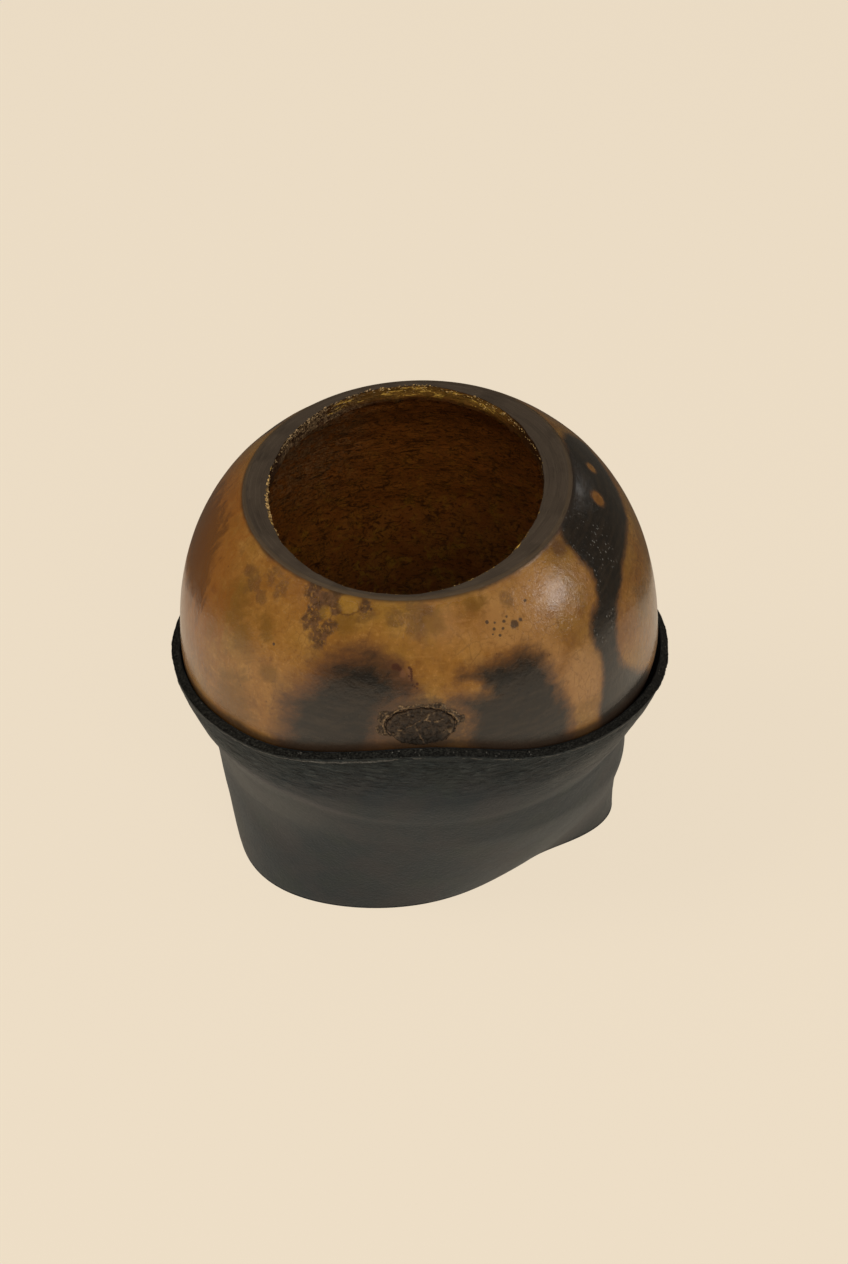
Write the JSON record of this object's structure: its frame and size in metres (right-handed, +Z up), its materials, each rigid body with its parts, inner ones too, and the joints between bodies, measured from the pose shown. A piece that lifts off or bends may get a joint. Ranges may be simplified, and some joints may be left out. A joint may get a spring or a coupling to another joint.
{
  "type": "mate gourd",
  "caption": "Empty varnished mate gourd cup cut open at the top, held in a formed black leather sleeve that stands on a flat foot.",
  "frame": {"origin": "middle of the part's box on the surface it stands on", "axes": "+Z up, the front with the round blossom scar faces -Y, +X to the right seen from the front"},
  "size_m": [0.1026, 0.1018, 0.095],
  "materials": {
    "varnished_gourd": "glossy varnish over orange-brown dried gourd with dark burnt patches, matte dark cut rim, rough dark brown inside",
    "black_leather": "satin black moulded leather with fine wrinkles and a raw fibrous cut edge"
  },
  "bodies": {
    "root": {"gourd": "varnished_gourd", "leather_sleeve": "black_leather"}
  },
  "joints": []
}
